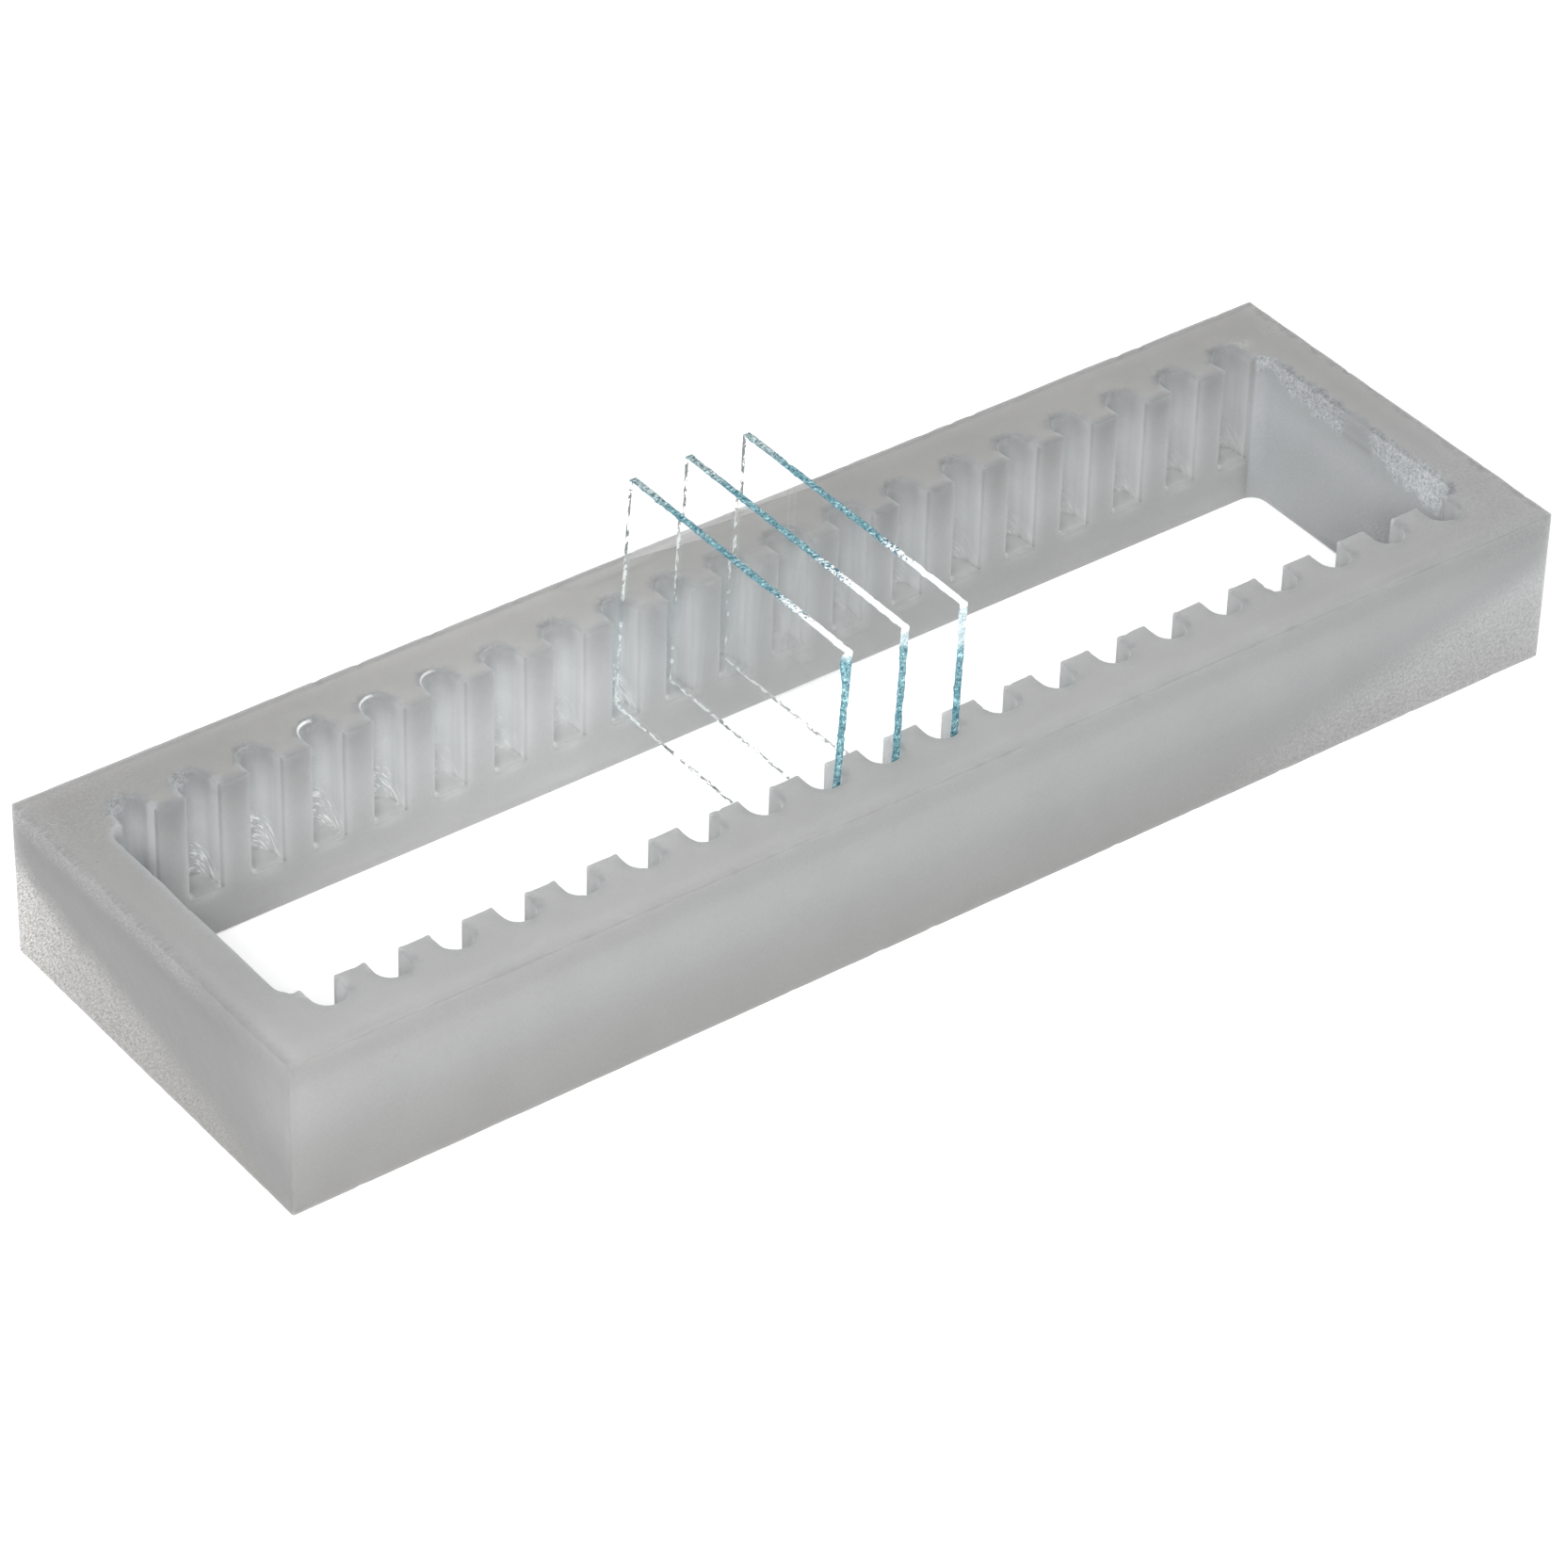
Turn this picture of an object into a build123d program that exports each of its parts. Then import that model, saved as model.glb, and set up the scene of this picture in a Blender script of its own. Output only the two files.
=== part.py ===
"""Slotted rack for small glass plates.

One milled plastic block with a window cut right through it and a row of slots in
each long wall of the window, and three loose glass plates that stand on edge in
three neighbouring slots.

Frame: X along the block, Y across it, Z up. The origin is on the underside, below
the middle of the block. Millimetres.
"""
import math
import os

from build123d import *

# Block
rack_length = 172.0
rack_width = 54.0
rack_height = 20.0
edge_break = 0.2

# One end mill cuts the window and the slots, so its radius is left in every corner
cutter_radius = 2.0
window_length = 160.0
window_width = 34.0

# Slots: each one crosses the window and runs into both long walls
slot_count = 20
slot_pitch = 8.0
slot_reach = 4.0
slot_depth = 14.0

# Glass plates
glass_width = 39.6
glass_height = 30.2
glass_thickness = 1.0
plate_clearance = 0.05

# Side: (slot number from the -X end, lean towards +X in degrees, shift along Y)
plates = {
    "left": (9, 3.7, -0.1),
    "middle": (10, 2.3, 0.0),
    "right": (11, 1.8, -0.1),
}

slot_floor = rack_height - slot_depth
slot_overall = window_width + 2 * slot_reach
slot_round_start = slot_overall / 2 - cutter_radius


def slot_centre(number):
    """X of a slot's middle, counted from 1 at the -X end."""
    return (number - (slot_count + 1) / 2) * slot_pitch


def prop_offset(shift):
    """Distance from a slot's middle to where its round end stops a plate's edge."""
    into_round = glass_width / 2 + abs(shift) - slot_round_start
    return math.sqrt(cutter_radius**2 - into_round**2) - plate_clearance


def plate_plane(number, lean, shift):
    """Plane of a plate's -X face, with its origin at the middle of the foot.

    The plate stands on the slot floor on its +X bottom edge, and its side edge leans
    on the top rim of the slot's round end, with a small clearance at both places.
    """
    angle = math.radians(lean)
    rim_x = slot_centre(number) + prop_offset(shift)
    floor_x = rim_x - slot_depth * math.tan(angle) - glass_thickness / math.cos(angle)
    lift = glass_thickness * math.sin(angle) + plate_clearance
    foot = (floor_x + lift * math.tan(angle), shift, slot_floor + lift)
    return Plane(origin=foot, x_dir=(0, 1, 0), z_dir=(math.cos(angle), 0, -math.sin(angle)))


os.makedirs("parts", exist_ok=True)

# The block: its outer edges broken, the window cut right through, then the slots,
# each one a single pass across the window
with BuildPart() as rack_block:
    Box(rack_length, rack_width, rack_height, align=(Align.CENTER, Align.CENTER, Align.MIN))
    chamfer(rack_block.edges(), length=edge_break)
    with BuildSketch(Plane.XY):
        RectangleRounded(window_length, window_width, cutter_radius)
    extrude(amount=rack_height, mode=Mode.SUBTRACT)
    with BuildSketch(Plane.XY.offset(slot_floor)):
        with GridLocations(slot_pitch, 0, slot_count, 1):
            SlotOverall(slot_overall, 2 * cutter_radius, rotation=90)
    extrude(amount=slot_depth, mode=Mode.SUBTRACT)
rack_block.part.label = "rack_block"
export_step(rack_block.part, "parts/rack_block.step")

# The glass plates, cut to the same size from the same sheet
for side, (number, lean, shift) in plates.items():
    with BuildPart() as glass_plate:
        with BuildSketch(plate_plane(number, lean, shift)):
            Rectangle(glass_width, glass_height, align=(Align.CENTER, Align.MIN))
        extrude(amount=glass_thickness)
    name = "glass_plate_" + side
    glass_plate.part.label = name
    export_step(glass_plate.part, f"parts/{name}.step")
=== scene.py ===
import math

import bmesh
import bpy
import numpy as np
from mathutils import Matrix, Vector, noise
from mathutils.geometry import delaunay_2d_cdt


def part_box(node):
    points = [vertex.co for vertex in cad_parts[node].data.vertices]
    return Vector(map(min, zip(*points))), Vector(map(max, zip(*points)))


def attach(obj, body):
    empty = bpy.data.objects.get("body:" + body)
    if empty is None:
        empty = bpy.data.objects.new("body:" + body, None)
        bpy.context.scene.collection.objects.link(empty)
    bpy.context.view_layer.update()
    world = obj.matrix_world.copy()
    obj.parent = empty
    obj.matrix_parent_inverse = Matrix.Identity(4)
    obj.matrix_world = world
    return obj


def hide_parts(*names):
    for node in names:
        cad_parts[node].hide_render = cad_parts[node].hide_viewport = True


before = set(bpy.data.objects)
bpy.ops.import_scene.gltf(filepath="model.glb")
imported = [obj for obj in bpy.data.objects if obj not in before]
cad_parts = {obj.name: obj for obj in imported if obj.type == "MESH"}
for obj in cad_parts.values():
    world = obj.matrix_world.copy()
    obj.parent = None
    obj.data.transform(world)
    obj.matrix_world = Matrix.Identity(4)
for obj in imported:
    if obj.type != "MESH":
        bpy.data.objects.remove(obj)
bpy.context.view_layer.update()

# Everything below is worked out in millimetres and scaled to metres as a mesh is made.
MM = 0.001

# ---------------------------------------------------------------------------
# Sizes. The block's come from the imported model, the milled ones are named.
# ---------------------------------------------------------------------------
rack_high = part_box("rack_block")[1]
half_length = rack_high.x / MM
half_width = rack_high.y / MM
height = rack_high.z / MM

window_half_length = 80.0
window_half_width = 17.0
cutter_radius = 2.0
slot_count = 20
slot_pitch = 8.0
slot_reach = 4.0
ledge = 6.0
round_start = window_half_width + slot_reach - cutter_radius

corner_cut = 0.42         # how far a tooth's corner is worn back
rim_radius = 0.35         # worn edge round the top of the window and slots
outer_radius = 0.28       # worn edge round the outside
foot_radius = 0.18        # worn edge round the underside

# How finely the block's skin is cut up: rows of points up a wall, and steps along it
foot_rows = 3
rim_rows = 4
rows_to_ledge = 9
rows_above_ledge = 24
outer_rows = 42
window_step = 0.5
slot_step = 0.4
round_step = 0.42
long_side_step = 0.8
top_step = 0.85
underside_step = 1.6
ledge_step = 0.6
welds_per_mm = 20000      # points that round to the same place on this grid are one
sharp_angle = 55          # degrees; flatter edges are shaded smooth
all_triangles = 0         # the kind of output wanted from the triangulation
closest = 1e-7            # points nearer than this would be one to it

# The key light, in metres and watts
key_place = (-0.72, -0.82, 0.85)
key_size = 0.6
key_power = 19.6
sky_strength = 0.6

# Glass: (slot number, lean in degrees, shift along Y, near top corner chip, how far down its
# near edge is pale, where along its top edge a painted reflection turns it white)
glass_width = 39.6
glass_height = 30.2
glass_thickness = 1.0
plate_clearance = 0.05
plates = {
    "left": (9, 3.7, -0.1, 1.2, 0.5, -11.0),
    "middle": (10, 2.3, 0.0, 0.3, 1.8, -8.5),
    "right": (11, 1.8, -0.1, 0.15, 5.0, -9.3),
}


# ---------------------------------------------------------------------------
# Small helpers
# ---------------------------------------------------------------------------
def fractal(points, size, seed, octaves=3):
    """Smooth noise from about -1 to 1 at each point; size is the width of its largest blobs."""
    offset = Vector((17.3 * seed, 5.1 * seed, 29.7 * seed))
    found = np.empty(len(points))
    for i, p in enumerate(points):
        found[i] = noise.fractal(Vector(p) / size + offset, 0.6, 2.0, octaves)
    return found


def add_object(name, vertices, faces):
    """A new mesh object, linked to the scene."""
    mesh = bpy.data.meshes.new(name)
    mesh.from_pydata(vertices, [], faces)
    thing = bpy.data.objects.new(name, mesh)
    bpy.context.scene.collection.objects.link(thing)
    return thing


def face_outwards(mesh):
    """Turn every face's normal to the outside of the closed mesh."""
    work = bmesh.new()
    work.from_mesh(mesh)
    bmesh.ops.recalc_face_normals(work, faces=work.faces)
    work.to_mesh(mesh)
    work.free()


def paint(mesh, name, values):
    """A value at every vertex, for the materials to read."""
    layer = mesh.attributes.new(name, "FLOAT", "POINT")
    layer.data.foreach_set("value", np.asarray(values, np.float32).ravel())


def smooth(value, low, high):
    """0 below low, 1 above high, and a smooth step in between."""
    t = np.clip((value - low) / (high - low), 0.0, 1.0)
    return t * t * (3.0 - 2.0 * t)


def bell(value, middle, spread):
    """1 at middle, falling off to each side."""
    return np.exp(-(((value - middle) / spread) ** 2))


def profile(at, *pairs):
    """A level at each value, straight between (value, level) pairs."""
    return np.interp(at, *zip(*pairs))


class Skin:
    """Patches of one closed surface. Points in the same place become one vertex."""

    def __init__(self):
        self.points, self.kinds, self.faces, self.count = [], [], [], 0

    def add(self, points, kind):
        """Points of one kind, or a kind for each; returns the first one's number."""
        first = self.count
        self.points.append(np.asarray(points, float).reshape(-1, 3))
        size = len(self.points[-1])
        self.kinds.append(np.broadcast_to(np.asarray(kind), (size,)).copy())
        self.count += size
        return first

    def sheet(self, grid, kind, closed=False):
        """A grid of points, columns by rows, as quads."""
        columns, rows = grid.shape[:2]
        first = self.add(grid, np.repeat(kind, rows) if np.ndim(kind) else kind)
        for c in range(columns if closed else columns - 1):
            a, b = first + c * rows, first + (c + 1) % columns * rows
            for r in range(rows - 1):
                self.faces.append((a + r, b + r, b + r + 1, a + r + 1))

    def fill(self, loops, inner, z, kind):
        """A flat face between closed loops, with the inner points that make it fine."""
        flat, edges = [], []
        for loop in loops:
            start, size = len(flat), len(loop)
            flat += [Vector(p) for p in loop[:, :2]]
            edges += [(start + i, start + (i + 1) % size) for i in range(size)]
        exact = np.concatenate([loop[:, :2] for loop in loops] + [np.array(inner)])
        flat += [Vector(p) for p in inner]
        found, _, faces, origin, _, _ = delaunay_2d_cdt(flat, edges, [], all_triangles, closest)
        # Vectors are rounded off, so points that were given are put back exactly
        found = np.array([exact[ids[0]] if ids else tuple(p) for p, ids in zip(found, origin)])
        faces = np.array(faces)
        middle = found[faces].mean(axis=1)
        kept = np.zeros(len(middle), bool)
        for loop in loops:
            kept ^= inside(middle, loop[:, :2])
        heights = np.full(len(found), z)
        first = self.add(np.column_stack((found, heights)), kind)
        self.faces += [tuple(first + f) for f in faces[kept]]

    def welded(self):
        """Points, their kinds and the faces, with points in the same place made one."""
        points = np.concatenate(self.points)
        kinds = np.concatenate(self.kinds)
        keys = np.round(points * welds_per_mm).astype(np.int64)
        _, first, back = np.unique(keys, axis=0, return_index=True, return_inverse=True)
        back = back.ravel()
        faces = []
        for f in self.faces:
            g = [int(back[i]) for i in f]
            g = [v for i, v in enumerate(g) if v != g[i - 1]]
            if len(g) > 2:
                faces.append(g)
        used = np.unique(np.concatenate([np.array(f) for f in faces]))
        renumber = np.full(len(first), -1)
        renumber[used] = np.arange(len(used))
        faces = [[int(renumber[v]) for v in f] for f in faces]
        return points[first][used], kinds[first][used], faces


def inside(points, loop):
    """Whether each point is inside a closed loop, by counting crossings."""
    a, b = loop, np.roll(loop, -1, axis=0)
    found = np.zeros(len(points), bool)
    x, y = points[:, 0], points[:, 1]
    for (ax, ay), (bx, by) in zip(a, b):
        if ay == by:
            continue
        span = (ay > y) != (by > y)
        at = ax + (y - ay) * (bx - ax) / (by - ay)
        found ^= span & (x < at)
    return found


def line(start, end, step):
    """Points from start to end, no further apart than step."""
    pieces = max(1, math.ceil(math.dist(start, end) / step))
    t = np.linspace(0.0, 1.0, pieces + 1)[:, None]
    return np.array(start) * (1 - t) + np.array(end) * t


def arc(centre, radius, start, end, step):
    """Points round an arc from the start angle to the end angle."""
    pieces = max(2, math.ceil(abs(end - start) * radius / step))
    t = np.linspace(start, end, pieces + 1)
    return np.column_stack((centre[0] + radius * np.cos(t), centre[1] + radius * np.sin(t)))


def worn_corner(start, corner, end):
    """A corner rubbed round, as five points from start to end."""
    t = np.linspace(0.0, 1.0, 5)[:, None]
    start, corner, end = np.array(start), np.array(corner), np.array(end)
    return (1 - t) ** 2 * start + 2 * t * (1 - t) * corner + t**2 * end


def outward(loop):
    """Unit normals to the left of a closed loop's direction of travel."""
    along = np.roll(loop, -1, axis=0) - np.roll(loop, 1, axis=0)
    side = np.column_stack((-along[:, 1], along[:, 0]))
    return side / np.linalg.norm(side, axis=1)[:, None]


# ---------------------------------------------------------------------------
# The block's skin
# ---------------------------------------------------------------------------
# Kinds of surface
OUTSIDE, END_WALL, TOOTH, SIDE_PLUS, SIDE_MINUS, ROUND, TOP, UNDERSIDE, LEDGE = range(9)


def slot_centre(number):
    """X of a slot's middle; slot 1 is nearest to -X."""
    return (number - (slot_count + 1) / 2) * slot_pitch


def half_opening():
    """Half of the outline of window and slots: the +X end wall, then the +Y side going to -X.
    Elements are (kind, role, points). The other half is this one turned half a turn."""
    r, w, c = cutter_radius, window_half_width, corner_cut
    bend_x, bend_y = window_half_length - r, window_half_width - r
    turn = c / r
    quarter = math.pi / 2
    elements = [
        (END_WALL, "full", line((bend_x + r, -bend_y), (bend_x + r, bend_y), window_step)),
        (END_WALL, "full", arc((bend_x, bend_y), r, 0.0, quarter - turn, slot_step)),
    ]
    for number in range(slot_count, 0, -1):
        x = slot_centre(number)
        before = elements[-1][2][-1]
        elements += [
            (TOOTH, "in", worn_corner(before, (x + r, w), (x + r, w + c))),
            (SIDE_PLUS, "slot", line((x + r, w + c), (x + r, round_start), slot_step)),
            (ROUND, "slot", arc((x, round_start), r, 0.0, math.pi, round_step)),
            (SIDE_MINUS, "slot", line((x - r, round_start), (x - r, w + c), slot_step)),
        ]
        if number > 1:
            after = (x - r - c, w)
            onward = line(after, (x - slot_pitch + r + c, w), window_step)
        else:
            onward = arc((-bend_x, bend_y), r, quarter + turn, math.pi, slot_step)
            after = tuple(onward[0])
        elements.append((TOOTH, "out", worn_corner((x - r, w + c), (x - r, w), after)))
        elements.append((TOOTH if number > 1 else END_WALL, "full", onward))
    return elements


def opening():
    """The whole outline: points, kinds, roles."""
    points, kinds, roles = [], [], []
    for turned in (1.0, -1.0):
        for kind, role, run in half_opening():
            if turned < 0 and kind in (SIDE_PLUS, SIDE_MINUS):
                kind = SIDE_PLUS + SIDE_MINUS - kind
            for i, p in enumerate(run[:-1]):
                points.append((p[0] * turned, p[1] * turned))
                kinds.append(kind)
                roles.append("join" if role == "in" and i == 0 else role)
    return np.array(points), np.array(kinds), roles


def window_edge(x, side):
    """Y of the window's long edge at x, round its corner too."""
    past = abs(x) - (window_half_length - cutter_radius)
    if past <= 0:
        return side * window_half_width
    bend = window_half_width - cutter_radius
    return side * (bend + math.sqrt(max(cutter_radius**2 - past**2, 0.0)))


def wear(loop, radius, seed):
    """Radius of a worn edge at each point of a loop: uneven, with a few deeper nicks, and
    never wider than a tight corner has room for."""
    flat = np.column_stack((loop, np.zeros(len(loop))))
    uneven = fractal(flat, 5.0, seed)
    nick = smooth(fractal(flat, 1.6, seed + 3, 2), 0.45, 0.8)
    wanted = radius * (1.0 + 0.45 * uneven + nick)
    ahead = np.roll(loop, -1, axis=0) - loop
    behind = loop - np.roll(loop, 1, axis=0)
    bend = behind[:, 0] * ahead[:, 1] - behind[:, 1] * ahead[:, 0]
    lengths = np.linalg.norm(ahead, axis=1) * np.linalg.norm(behind, axis=1)
    turning = np.maximum(-bend / lengths, 1e-6)
    room = 0.6 * np.sqrt(lengths) / turning
    room = np.minimum(room, np.minimum(np.roll(room, 1), np.roll(room, -1)))
    return np.minimum(wanted, room)


def standing_rows(radius_low, radius_high, breaks):
    """(offset into the material, z) rows of a wall: worn foot, straight part, worn rim."""
    rows = [(radius_low * (1 - math.sin(t)), radius_low * (1 - math.cos(t)))
            for t in np.linspace(0, math.pi / 2, foot_rows + 1)]
    for start, end, pieces in breaks:
        rows += [(0.0, z) for z in np.linspace(start, end, pieces + 1)[1:]]
    rows += [(radius_high * (1 - math.cos(t)), height - radius_high * (1 - math.sin(t)))
             for t in np.linspace(0, math.pi / 2, rim_rows + 1)[1:]]
    return rows


def wall_grid(loop, normals, low, high, breaks):
    """Columns of wall points. Normals point into the air. Low and high are the worn edges'
    radii, and breaks says where the rows between them start and end (None: at a worn edge)."""
    columns = []
    for p, n, a, b in zip(loop, normals, low, high):
        spans = [(a if s is None else s, height - b if e is None else e, k) for s, e, k in breaks]
        rows = standing_rows(a, b, spans)
        columns.append([(p[0] - n[0] * off, p[1] - n[1] * off, z) for off, z in rows])
    return np.array(columns)


def sprinkle(step, kept):
    """Points of a loose triangular grid over the block, where kept says so."""
    rows = []
    y, odd = -half_width + step / 2, False
    while y < half_width:
        x = np.arange(-half_length + (step / 2 if odd else step), half_length, step)
        rows.append(np.column_stack((x, np.full(len(x), y))))
        y += step * 0.866  # as high as a triangle with equal sides
        odd = not odd
    grid = np.concatenate(rows)
    shake = fractal(np.column_stack((grid, np.full(len(grid), 0.5))), 0.7, 5, 1)
    grid[:, 0] += shake * step * 0.15
    return grid[kept(grid)]


def to_opening(p, slots=True):
    """Distance from the opening, negative in it."""
    x, y = np.abs(p[:, 0]), np.abs(p[:, 1])
    r = cutter_radius
    dx = x - (window_half_length - r)
    dy = y - (window_half_width - r)
    away = np.hypot(np.maximum(dx, 0), np.maximum(dy, 0)) + np.minimum(np.maximum(dx, dy), 0) - r
    if slots:
        nearest = np.clip(np.round(p[:, 0] / slot_pitch - 0.5), -slot_count / 2, slot_count / 2 - 1)
        across = p[:, 0] - (nearest + 0.5) * slot_pitch
        beyond = np.maximum(y - round_start, 0)
        away = np.minimum(away, np.hypot(across, beyond) - r)
    return away


def to_outside(p):
    """Distance from the block's outline."""
    return np.minimum(half_length - np.abs(p[:, 0]), half_width - np.abs(p[:, 1]))


skin = Skin()

# Outer wall: closed loop clockwise from above, so that its left is the air
corners = [(-1, -1), (-1, 1), (1, 1), (1, -1)]
outer = []
for i, (sx, sy) in enumerate(corners):
    here = np.array((sx * half_length, sy * half_width))
    tx, ty = corners[i - 1]
    back = np.array((tx * half_length, ty * half_width))
    nx, ny = corners[(i + 1) % 4]
    on = np.array((nx * half_length, ny * half_width))
    to_back = (back - here) / np.linalg.norm(back - here)
    to_on = (on - here) / np.linalg.norm(on - here)
    start, end = here + to_on * corner_cut, on - to_on * corner_cut
    outer.append(worn_corner(here + to_back * corner_cut, here, start)[:-1])
    outer.append(line(start, end, round_step if sx == nx else long_side_step)[:-1])
outer = np.concatenate(outer)
outer_normals = outward(outer)
outer_low = wear(outer, foot_radius, 11)
outer_high = wear(outer, outer_radius, 12)
outer_grid = wall_grid(outer, outer_normals, outer_low, outer_high, [(None, None, outer_rows)])
skin.sheet(outer_grid, OUTSIDE, closed=True)

# Inner wall: window and slots
hole, hole_kinds, roles = opening()
hole_normals = outward(hole)
hole_high = wear(hole, rim_radius, 13)
hole_low = np.full(len(hole), foot_radius)
to_the_ledge = [(None, ledge, rows_to_ledge), (ledge, None, rows_above_ledge)]
hole_grid = wall_grid(hole, hole_normals, hole_low, hole_high, to_the_ledge)
ledge_row = foot_rows + rows_to_ledge
size = len(hole)
for i in range(size):
    j = (i + 1) % size
    full = roles[i] == "full"
    pair = hole_grid[[i, j]]
    skin.sheet(pair if full else pair[:, ledge_row:], np.array([hole_kinds[i], hole_kinds[j]]))

# Under each slot: the window's own wall, and the ledge that a plate stands on
lower_loop = []
i = 0
while i < size:
    if roles[i] == "join":
        end = i
        while roles[end % size] != "full":
            end += 1
        span = hole[[k % size for k in range(i, end + 1)]]
        side = math.copysign(1.0, span[0][1])
        across = np.linspace(span[0][0], span[-1][0], 10)
        edge = np.array([(x, window_edge(x, side)) for x in across])
        edge[0], edge[-1] = span[0], span[-1]
        along = np.gradient(edge, axis=0)
        air = np.column_stack((-along[:, 1], along[:, 0]))
        air /= np.linalg.norm(air, axis=1)[:, None]
        air[0], air[-1] = hole_normals[i], hole_normals[end % size]
        low = np.full(len(edge), foot_radius)
        under = wall_grid(edge, air, low, low, to_the_ledge)[:, : ledge_row + 1]
        under[0] = hole_grid[i][: ledge_row + 1]
        under[-1] = hole_grid[end % size][: ledge_row + 1]
        skin.sheet(under, TOOTH)
        floor_loop = np.concatenate((span[:-1], edge[::-1][:-1]))
        centre_x = (span[0][0] + span[-1][0]) / 2
        steps = ledge_step * np.arange(5)
        dots = [(centre_x + u, side * v) for u in steps - steps[2]
                for v in window_half_width + 0.5 + steps]
        skin.fill([floor_loop], dots, ledge, LEDGE)
        lower_loop += list(under[:-1, 0])
        i = end
    else:
        lower_loop.append(hole_grid[i][0])
        i += 1
lower_loop = np.array(lower_loop)

# Top and underside
top_outer, top_inner = outer_grid[:, -1], hole_grid[:, -1]
dots = sprinkle(top_step, lambda p: (to_opening(p) > 0.6) & (to_outside(p) > 0.7))
skin.fill([top_outer, top_inner], dots, height, TOP)
dots = sprinkle(underside_step,
                lambda p: (to_opening(p, slots=False) > 0.9) & (to_outside(p) > 1.0))
skin.fill([outer_grid[:, 0], lower_loop], dots, 0.0, UNDERSIDE)

points, kinds, faces = skin.welded()

# Marks of how it was made: rough-sawn ends, slightly wavy milled faces. Only ever inwards.
x, y, z = points.T
sawn_end = smooth(np.abs(x), half_length - 0.6, half_length - 0.05)
slanted = np.column_stack((x * 0.2, (y + 0.55 * z) / 2.6, (z - 0.55 * y) * 0.9))
saw_marks = fractal(slanted, 1.0, 21, 4)
ripple = fractal(points, 7.0, 22, 2)
wave = 0.02 + 0.015 * ripple
end_depth = wave + sawn_end * (0.03 + 0.012 * saw_marks)
inwards = np.zeros_like(points)
inwards[:, 0] = -np.sign(x) * smooth(np.abs(x), half_length - 0.35, half_length) * end_depth
inwards[:, 1] = -np.sign(y) * smooth(np.abs(y), half_width - 0.35, half_width) * wave
inwards[:, 2] = -smooth(z, height - 0.3, height) * (0.012 + 0.01 * ripple)
points = points + inwards

block = add_object("slotted_block", [tuple(p * MM) for p in points], faces)
mesh = block.data
mesh.validate()
face_outwards(mesh)
mesh.shade_smooth()
mesh.set_sharp_from_angle(angle=math.radians(sharp_angle))

# ---------------------------------------------------------------------------
# How light the plastic looks, with light and shade painted on the skin. `seen` is the level
# wanted at a place and `lit` the level that plain plastic shows there under the studio light, out of 255.
# ---------------------------------------------------------------------------
x, y, z = points.T
far = np.abs(y)
near_side, far_side = y < 0, y > 0
from_edge = to_outside(points)
from_corner = np.maximum(half_length - np.abs(x), half_width - far)
from_opening = to_opening(points)
blotch = fractal(points, 9.0, 31, 3)
uneven = fractal(points, 2.2, 32, 3)
ragged = fractal(points, 1.3, 34, 3)

# Long outside faces: painted light, lightest above the middle and towards -X, with a pale frosted
# wedge at the foot, to +X, that is partly frosted grain and partly painted light
low_right = smooth((x - 22) * 0.215 - z, -2.2, 3.5)
corner_glow = 7 * smooth(-from_corner, -2.4, -1.0) + 18 * smooth(-from_corner, -1.2, -0.3)
front_seen = profile(z, (0, 163), (4, 165), (8.5, 171), (11, 178), (14, 182), (16.5, 180.5), (18.6, 174),
                     (19.4, 177), (20, 179))
front_seen += -0.065 * x - 3 * smooth(x, 45, 60) - 3 * smooth(x, 66, 86)
front_seen += 26 * low_right * smooth(x, 25, 84) + 1.2 * blotch
front_lit = 198 - 0.045 * x + 4 * smooth(z, 16, 17.8) + 11 * smooth(z, 18.4, 19.6) + corner_glow
front_lit += 5 * bell(z, 19.75, 0.12) - 10 * smooth(z, 19.85, 19.97)

# Sawn ends: a light wedge along the foot, widest at +Y, partly sawn grain and partly painted
# light, and a smooth pale patch near -Y
wedge_top = profile(y, (-27, 1), (-15, 5), (0, 8), (15, 10.5), (22, 12.5), (27, 14)) + 0.7 * uneven
wedge = smooth(wedge_top - z, -1.5, 3.5)
wedge_lift = profile(y, (-23, 0), (-16, 5), (-10, 11), (-3, 14), (3, 20), (10, 22), (17, 28), (23, 41),
                     (27, 46))
smooth_patch = smooth(-y, 8, 24) * smooth(z, 4, 12)
top_strip = smooth(z - 0.5 * uneven, 16.9, 18.0) * smooth(y, -18, -4)
end_seen = 163.5 + 1.1 * wedge * wedge_lift + 14 * smooth_patch * smooth(-y, 12, 26)
end_seen += 8 * top_strip + blotch - 2.5 * bell(z, 16.3, 1.3) * smooth(y, -20, -8)
end_seen += 4 * smooth(y, 22, 27) * (1 - wedge)
end_lit = 205 + 5 * smooth(z, 13, 17.5) + 7 * smooth(z, 18.4, 19.4) - 8 * smooth(z, 19.7, 19.95)
end_lit += 0.8 * corner_glow - 5 * wedge * smooth(y, 0, 20)

# Top: painted light along the near wall, lightest to -X, and a painted sheen on the far one to
# the -X side of the plates
near_seen = profile(x, (-86, 182), (-40, 183), (0, 179.5), (40, 177), (60, 173), (86, 166))
far_seen = profile(x, (-86, 164), (-60, 168), (-32, 181), (-12, 178), (5, 166), (20, 164), (40, 166),
                   (60, 168), (86, 164))
nearness = profile(y, (-22, 1), (-17, 0.6), (-10, 0.35), (0, 0.2), (20, 0))
top_seen = far_seen + (near_seen - far_seen) * nearness + blotch
by_last_slot = smooth(-np.hypot((x - 78.5) / 2.2, (y - 20.3) / 1.2), -1.1, -0.6)
top_seen += 13 * by_last_slot * (0.5 + 0.5 * uneven)
top_lit = 178 - 0.025 * x + 21 * smooth(-from_edge, -1.2, -0.3)
top_lit += profile(y, (15, 9), (20, 4)) * smooth(-from_edge, -2.0, -0.9)
top_lit += 4 * smooth(-from_opening, -1.8, -0.9) + 5 * smooth(-from_opening, -1.0, -0.3)
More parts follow.
